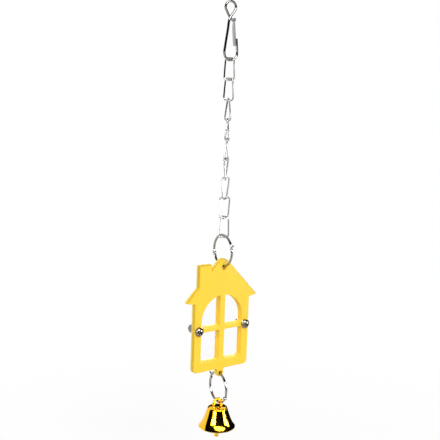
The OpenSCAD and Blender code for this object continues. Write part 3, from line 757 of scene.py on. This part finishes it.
zinc = zinc_plate()
slot_shade_steel = slot_shadow()
transom_z = peak_z - transom_drop
head_d, head_h, crown_r = 6.4 * MM, 3.1 * MM, 4.2 * MM
slot_w, slot_l, slot_t, slot_above = 1.05 * MM, 4 * MM, 1.4 * MM, 0.5 * MM
thread_pitch, thread_depth, ridge_share = 0.5 * MM, 0.25 * MM, 0.45
point_chamfer, first_ridge, plain_neck = 0.3 * MM, 0.25 * MM, 0.4 * MM
head_edge, rim_land, crown_steps = 0.15 * MM, 0.25 * MM, 12
end_r = 0.05 * MM
nut_hex_h = 2.8 * MM
shank_l = back_y - front_y + nut_hex_h


def turned_y(profile, x, steps=48):
    """Rings of a shape turned about a line along Y through a screw: profile is pairs of radius and y."""
    turns = [2 * math.pi * k / steps for k in range(steps)]
    return [
        [Vector((x + r * math.cos(t), y, transom_z + r * math.sin(t))) for t in turns] for r, y in profile
    ]


def carve(piece, cutter):
    """Cuts one closed shape out of another and removes the cutter."""
    cut = piece.modifiers.new("cut", "BOOLEAN")
    cut.operation, cut.solver, cut.object = "DIFFERENCE", "EXACT", cutter
    cut.material_mode = "TRANSFER"
    bpy.context.view_layer.update()
    carved = bpy.data.meshes.new_from_object(piece.evaluated_get(bpy.context.evaluated_depsgraph_get()))
    piece.modifiers.clear()
    piece.data = carved
    bpy.data.objects.remove(cutter)


for side, x in (("left", -screw_x), ("right", screw_x)):
    under_y, top_y = front_y, front_y - head_h
    rim_turn = math.asin(head_d / 2 / crown_r)
    rim_y = top_y + crown_r * (1 - math.cos(rim_turn))
    shank = [(end_r, under_y + shank_l), (screw_d / 2 - point_chamfer, under_y + shank_l)]
    ridges = int((shank_l - plain_neck) / thread_pitch)
    for k in range(ridges):
        y = under_y + shank_l - first_ridge - k * thread_pitch
        shank += [(screw_d / 2 - thread_depth, y), (screw_d / 2, y - ridge_share * thread_pitch)]
    head = [(screw_d / 2 - thread_depth, under_y), (head_d / 2 - head_edge, under_y)]
    head += [(head_d / 2, under_y - head_edge), (head_d / 2, rim_y + rim_land)]
    for k in range(crown_steps):
        a = rim_turn * (1 - (k + 0.6) / crown_steps)
        head.append((crown_r * math.sin(a), top_y + crown_r * (1 - math.cos(a))))
    shape = new_shape()
    skin(shape, turned_y([*shank, *head], x))
    screw = new_piece(f"pan_head_screw_{side}", shape, zinc)
    for turn in (30, 120):
        recess = new_shape()
        a = math.radians(turn)
        long_way = Vector((math.cos(a), 0, math.sin(a)))
        wide_way = Vector((-math.sin(a), 0, math.cos(a)))
        rings = []
        for share, depth in ((0.35, slot_t), (0.8, slot_t * 0.75), (1.08, -slot_above)):
            half_l, half_w = slot_l / 2 * share, slot_w / 2 * (0.7 + 0.3 * share)
            middle = Vector((x, top_y + depth, transom_z))
            signs = ((1, 1), (-1, 1), (-1, -1), (1, -1))
            rings.append([middle + half_l * u * long_way + half_w * v * wide_way for u, v in signs])
        skin(recess, rings)
        # The cut faces of the cross recess take the painted slot shade.
        carve(screw, new_piece("recess", recess, slot_shade_steel))
    screw.data.set_sharp_from_angle(angle=math.radians(35))
    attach(screw, "house")
    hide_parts(f"screw_{side}")


# Cap nuts
# Two domed hexagon nuts of zinc-plated steel, turned from bar with chamfered corners. They are screwed up
# against the back frame.
nut_af, nut_h, dome_d = 6.2 * MM, 7 * MM, 5.7 * MM
nut_hole_l = nut_hex_h + pass_gap
nut_bore_r, dome_foot = screw_d / 2 + fit_gap, nut_h - dome_d / 2
nut_face_r, nut_corner_r = nut_af / 2 * 0.97, nut_af / math.cos(math.pi / 6) / 2
chamfer, chamfer_steps, nut_sides = math.radians(30), 6, 96
cone = [nut_face_r + k / chamfer_steps * (nut_corner_r - nut_face_r) for k in range(chamfer_steps + 1)]
nut_profile = [(nut_hole_l, end_r), (nut_hole_l, nut_bore_r), (0, nut_bore_r)]
nut_profile += [((r - nut_face_r) * math.tan(chamfer), r) for r in cone]
nut_profile += [(nut_hex_h - (r - nut_face_r) * math.tan(chamfer), r) for r in reversed(cone)]
nut_profile += [(nut_hex_h, dome_d / 2), (dome_foot, dome_d / 2)]
for turn in range(9, 88, 6):
    a = math.radians(turn)
    nut_profile.append((dome_foot + dome_d / 2 * math.sin(a), dome_d / 2 * math.cos(a)))
for side, x in (("left", -screw_x), ("right", screw_x)):
    rings = []
    for y, limit in nut_profile:
        ring = []
        for k in range(nut_sides):
            t = 2 * math.pi * k / nut_sides
            flat = nut_af / 2 / math.cos((t + math.pi / 6) % (math.pi / 3) - math.pi / 6)
            r = min(flat, limit)
            ring.append(Vector((x + r * math.cos(t), back_y + y, transom_z + r * math.sin(t))))
        rings.append(ring)
    shape = new_shape()
    skin(shape, rings)
    nut = new_piece(f"domed_nut_{side}", shape, zinc, crease=25)
    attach(nut, "house")
    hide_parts(f"cap_nut_{side}")


# Bell
# A small bell pressed from thin brass sheet and polished bright, with a rolled bead at the rim. A wire loop
# goes through its crown, hangs on the lower ring and carries the clapper inside.
def polished_brass():
    """Lacquered bright brass: a deep gold mirror with a slow waviness and polishing lines round the bell,
    drawn coarser than real ones, to show."""
    line_w, line_l, wave = 0.15, 8.0, 5.0
    material, tree = new_material("polished_brass")
    lines = drawn_lines(tree, line_l, line_w, 3.0)
    place = node(tree, "TexCoord").outputs["Object"]
    waves = node(tree, "TexNoise", {"Vector": place, "Scale": 1 / (wave * MM), "Detail": 1.0})
    tone = node(tree, "Mix", {0: waves, 6: linear("FFCA16"), 7: linear("FABF0E")}, data_type="RGBA")
    rough = node(tree, "MapRange", {
        "Value": lines, "From Min": 0.3, "From Max": 0.7, "To Min": 0.05, "To Max": 0.1,
    })
    heights = node(tree, "Math", {0: lines, 1: 0.03, 2: waves}, operation="MULTIPLY_ADD")
    lacquer = {"Coat Weight": 0.35, "Coat Roughness": 0.04}
    metal_finish(tree, tone, rough, heights, 0.12, 0.15, lacquer)
    return material


brass = polished_brass()
shoulder_d, rim_d, bell_wall, bead_d = 14.6 * MM, 26.7 * MM, 0.7 * MM, 1.3 * MM
crown_h, crown_square = 1.8 * MM, 0.8
flare_share, flare_power, flare_steps = 0.25, 5, 40
bead_hides = 0.4 * bead_d
bell_low, bell_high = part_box("bell_shell")
crown_z, rim_z = bell_high.z, bell_low.z + bead_d / 2
side_h = crown_z - crown_h - rim_z


def turned_z(profile, steps=96):
    """Rings of a shape turned about the Z axis: profile is pairs of radius and height."""
    turns = [2 * math.pi * k / steps for k in range(steps)]
    return [[Vector((r * math.cos(t), r * math.sin(t), z)) for t in turns] for r, z in profile]


def bell_line(inner):
    """Half section of the bell from the crown's middle to the rim, moved in by inner."""
    line = []
    for turn in (89.5, 80, 70, 60, 50, 40, 30, 22, 15, 9, 4):
        a = math.radians(turn)
        x, z = math.cos(a) ** crown_square, math.sin(a) ** crown_square
        line.append(((shoulder_d / 2 - inner) * x, crown_z - crown_h + (crown_h - inner) * z))
    for k in range(flare_steps + 1):
        t = k / flare_steps
        flare = (1 - flare_share) * t + flare_share * t ** flare_power
        line.append(((shoulder_d + (rim_d - shoulder_d) * flare) / 2 - inner, crown_z - crown_h - side_h * t))
    return line


bead = []
for turn in range(-15, -221, -15):
    a = math.radians(turn)
    bead.append((rim_d / 2 - bead_d / 2 + bead_d / 2 * math.cos(a), rim_z + bead_d / 2 * math.sin(a)))
inside = [(r, z) for r, z in bell_line(bell_wall) if z > rim_z + bead_hides]
shape = new_shape()
skin(shape, turned_z([*bell_line(0), *bead, *reversed(inside)]))
bell = new_piece("pressed_bell", shape, brass, crease=40)
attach(bell, "bell")
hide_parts("bell_shell")

loop_wire_d, loop_w = 1.9 * MM, 6.6 * MM
loop_low, loop_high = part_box("bell_loop")
loop_top, loop_foot = loop_high.z - loop_wire_d / 2, loop_low.z + loop_wire_d / 2
loop_across = Vector((math.cos(lower_heading), math.sin(lower_heading), 0))
loop_r, loop_steps = loop_w / 2, 24
path = []
for end_z, turn_from in ((loop_top - loop_r, 0), (loop_foot + loop_r, 180)):
    for k in range(loop_steps + 1):
        a = math.radians(turn_from + 180 * k / loop_steps)
        path.append(loop_r * math.cos(a) * loop_across + Vector((0, 0, end_z + loop_r * math.sin(a))))
shape = new_shape()
loop_side = Vector((-loop_across.y, loop_across.x, 0))
skin(shape, wire_rings(path, loop_wire_d / 2, loop_side, closed=True), closed=True)
loop = new_piece("bell_hanging_loop", shape, brass)
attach(loop, "bell")
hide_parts("bell_loop")


# Clapper
# A brass wire with an eye bent at its top, which hangs on the foot of the loop, and a turned drop-shaped
# bob pressed on its lower end.
stem_d, stem_eye_r, stem_bend = 0.9 * MM, 1.6 * MM, 1.2 * MM
bob_d, bob_neck_d, bob_top = 3.2 * MM, 1.4 * MM, 0.01 * MM
stem_low, stem_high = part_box("clapper_stem")
bob_low, bob_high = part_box("clapper_bob")
stem_eye_z = stem_high.z - stem_d / 2 - stem_eye_r
path = []
for turn in range(0, 331, 10):
    a = math.radians(turn - 90)
    path.append(stem_eye_r * math.cos(a) * loop_side + Vector((0, 0, stem_eye_z + stem_eye_r * math.sin(a))))
neck = [Vector((0, 0, stem_low.z)), Vector((0, 0, stem_eye_z - stem_eye_r - stem_bend))]
stem_path = smooth_path([neck[0], neck[0].lerp(neck[1], 0.5), neck[1], *path[1::3]], 5)
shape = new_shape()
skin(shape, wire_rings(stem_path, stem_d / 2, loop_across))
stem = new_piece("clapper_wire", shape, brass)
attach(stem, "clapper")
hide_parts("clapper_stem")

tip_z = bob_low.z + bob_d / 2
drop = []
for turn in range(-88, 9, 6):
    a = math.radians(turn)
    drop.append((bob_d / 2 * math.cos(a), tip_z + bob_d / 2 * math.sin(a)))
taper_from, taper_steps = math.radians(10), 12
start_r, start_z = bob_d / 2 * math.cos(taper_from), tip_z + bob_d / 2 * math.sin(taper_from)
for k in range(1, taper_steps + 1):
    t = k / taper_steps
    ease = t * t * (3 - 2 * t)
    drop.append((start_r + (bob_neck_d / 2 - start_r) * ease, start_z + (bob_high.z - start_z) * t))
drop.append((stem_d / 2, bob_high.z + bob_top))
shape = new_shape()
skin(shape, turned_z(drop, steps=40))
bob = new_piece("clapper_drop", shape, brass)
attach(bob, "clapper")
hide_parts("clapper_bob")


# Camera
# The photograph's viewing place, fitted to it: to the left of the house and above its middle, looking a
# little down, with a moderately long lens.
sensor, focal_px, image_px = 36.0, 850.0, 440.0
azimuth, elevation, roll_angle = math.radians(-36.28), math.radians(10.05), math.radians(2.0)
camera_place = Vector((-0.34829, -0.46974, -0.04143))
forward = Vector((
    -math.sin(azimuth) * math.cos(elevation), math.cos(azimuth) * math.cos(elevation), -math.sin(elevation),
))
level = Vector((math.cos(azimuth), math.sin(azimuth), 0))
upward = level.cross(forward)
camera_right = math.cos(roll_angle) * level + math.sin(roll_angle) * upward
camera_up = math.cos(roll_angle) * upward - math.sin(roll_angle) * level
lens = bpy.data.cameras.new("camera")
lens.sensor_width, lens.lens = sensor, sensor * focal_px / image_px
lens.clip_start, lens.clip_end = 0.01, 100
camera = bpy.data.objects.new("camera", lens)
turn = Matrix((camera_right, camera_up, -forward)).transposed()
camera.matrix_world = Matrix.Translation(camera_place) @ turn.to_4x4()
bpy.context.scene.collection.objects.link(camera)
bpy.context.scene.camera = camera


# Studio
# A white floor and background, and two soft boxes for the plastic. Three strips and some black cloths are
# seen by shiny surfaces alone, so that the metal draws bright and dark lines against the white.
scene = bpy.context.scene
scene.view_settings.view_transform = "Standard"
to_camera = Vector((math.sin(azimuth), -math.cos(azimuth), 0))


def seen_directly(tree):
    """Node that is 1 for camera, mirror and glass rays, and 0 for light that is scattered."""
    path = node(tree, "LightPath")
    first = node(tree, "Math", {
        0: path.outputs["Is Camera Ray"], 1: path.outputs["Is Glossy Ray"],
    }, operation="MAXIMUM")
    return node(tree, "Math", {0: first, 1: path.outputs["Is Transmission Ray"]}, operation="MAXIMUM")


world = bpy.data.worlds.new("white_studio")
scene.world = world
world.use_nodes = True
world.node_tree.nodes.clear()
ambient = 0.28
tree = world.node_tree
strength = node(tree, "MapRange", {"Value": seen_directly(tree), "To Min": ambient, "To Max": 1.0})
background = node(tree, "Background", {"Color": linear("FFFFFF"), "Strength": strength})
node(tree, "OutputWorld", {"Surface": background})

floor_drop, floor_r, shadow_r, white_r, bleach = 0.055, 0.6, 0.1, 0.42, 0.88
fibre = 2.5
floor_z = cad_box[0].z - floor_drop
paper, tree = new_material("white_paper")
place = node(tree, "TexCoord").outputs["Object"]
from_middle = node(tree, "VectorMath", {0: place, 1: (0, 0, floor_z)}, operation="DISTANCE")
outside = node(tree, "MapRange", {
    "Value": from_middle, "From Min": shadow_r, "From Max": white_r, "To Min": bleach, "To Max": 1.0,
}, interpolation_type="SMOOTHSTEP")
whiten = node(tree, "Math", {0: outside, 1: seen_directly(tree)}, operation="MULTIPLY")
fibres = node(tree, "TexNoise", {"Vector": place, "Scale": 1 / (fibre * MM), "Detail": 4.0})
paper_tone = node(tree, "Mix", {0: fibres, 6: linear("FAFAF8"), 7: linear("F6F6F5")}, data_type="RGBA")
lit = node(tree, "BsdfDiffuse", {"Color": paper_tone})
white = node(tree, "Emission", {"Color": linear("FFFFFF"), "Strength": 1.0})
surface = node(tree, "MixShader", {0: whiten, 1: lit, 2: white})
node(tree, "OutputMaterial", {"Surface": surface})
shape = bmesh.new()
bmesh.ops.create_circle(shape, cap_ends=True, segments=96, radius=floor_r)
shape.transform(Matrix.Translation((0, 0, floor_z)))
floor = new_object("floor", shape, paper)

cloth, tree = new_material("black_cloth")
surface = node(tree, "BsdfDiffuse", {"Color": linear("0C0B0A")})
node(tree, "OutputMaterial", {"Surface": surface})


def dark_sheet(name, radius, sides, heights):
    """Part of an upright cylinder of black cloth round the object, between two angles counted from the camera
    towards the right and between two heights. Only shiny surfaces see it."""
    steps = 32
    shape = bmesh.new()
    edges = []
    for i in range(steps + 1):
        side = math.radians(sides[0] + (sides[1] - sides[0]) * i / steps)
        out = radius * (to_camera * math.cos(side) + level * math.sin(side))
        edges.append([shape.verts.new(out + Vector((0, 0, z))) for z in heights])
    for before, after in zip(edges, edges[1:]):
        shape.faces.new((before[0], before[1], after[1], after[0]))
    sheet = new_object(name, shape, cloth)
    sheet.visible_camera = sheet.visible_diffuse = sheet.visible_shadow = False


def soft_box(name, aim_z, side, lifted, distance, size, power, spread=180, outline="RECTANGLE"):
    """Area lamp aimed at a height on the object's middle line. It stands at an angle to the right of the
    camera's direction, lifted above that height, and shines within the spread."""
    lamp = bpy.data.lights.new(name, "AREA")
    lamp.shape, lamp.size, lamp.size_y = outline, *size
    lamp.spread, lamp.energy = math.radians(spread), power
    box = bpy.data.objects.new(name, lamp)
    side, lifted = math.radians(side), math.radians(lifted)
    out = (to_camera * math.cos(side) + level * math.sin(side)) * math.cos(lifted)
    out = out + Vector((0, 0, math.sin(lifted)))
    spot = Vector((0, 0, aim_z)) + out * distance
    box.matrix_world = Matrix.Translation(spot) @ out.to_track_quat("Z", "Y").to_matrix().to_4x4()
    box.visible_camera = False
    scene.collection.objects.link(box)
    return box


wall_r, wall_foot, wall_top = 6.0, -1.0, 12.0
dark_sheet("dark_wall_left", wall_r, sides=(-89, 22), heights=(wall_foot, wall_top))
dark_sheet("dark_wall_front", wall_r, sides=(22, 50), heights=(0.3, wall_top))
dark_sheet("dark_wall", wall_r, sides=(50, 130), heights=(wall_foot, wall_top))
dark_sheet("dark_wall_right", wall_r, sides=(130, 176), heights=(wall_foot, 2.2))
dark_sheet("dark_card_front", 0.3, sides=(-25, 25), heights=(floor_z, -0.25))
dark_sheet("dark_card_low", 0.04, sides=(-90, 110), heights=(floor_z, -0.325))
dark_sheet("dark_card_right", 0.12, sides=(122, 178), heights=(floor_z, -0.284))
dark_sheet("dark_card_back", 2.0, sides=(165, 230), heights=(0.14, 0.8))
key_box = soft_box("key_box", transom_z, side=25, lifted=38, distance=1.8, size=(0.8, 0.6), power=24)
back_box = soft_box("back_box", transom_z, side=-120, lifted=30, distance=1.8, size=(0.8, 0.6), power=16)
top_strip = soft_box(
    "top_strip", rim_z, side=22, lifted=39, distance=3, size=(4.0, 1.0), power=100, outline="ELLIPSE",
)
left_strip = soft_box(
    "left_strip", rim_z, side=-28.5, lifted=19.4, distance=0.57, size=(0.32, 0.105), power=0.30, spread=60,
)
right_strip = soft_box(
    "right_strip", rim_z, side=81, lifted=12.6, distance=0.7, size=(0.44, 0.14), power=0.38, spread=40,
)
for lamp in (key_box, back_box):
    lamp.visible_glossy = False
for lamp in (top_strip, left_strip, right_strip):
    lamp.visible_diffuse = False
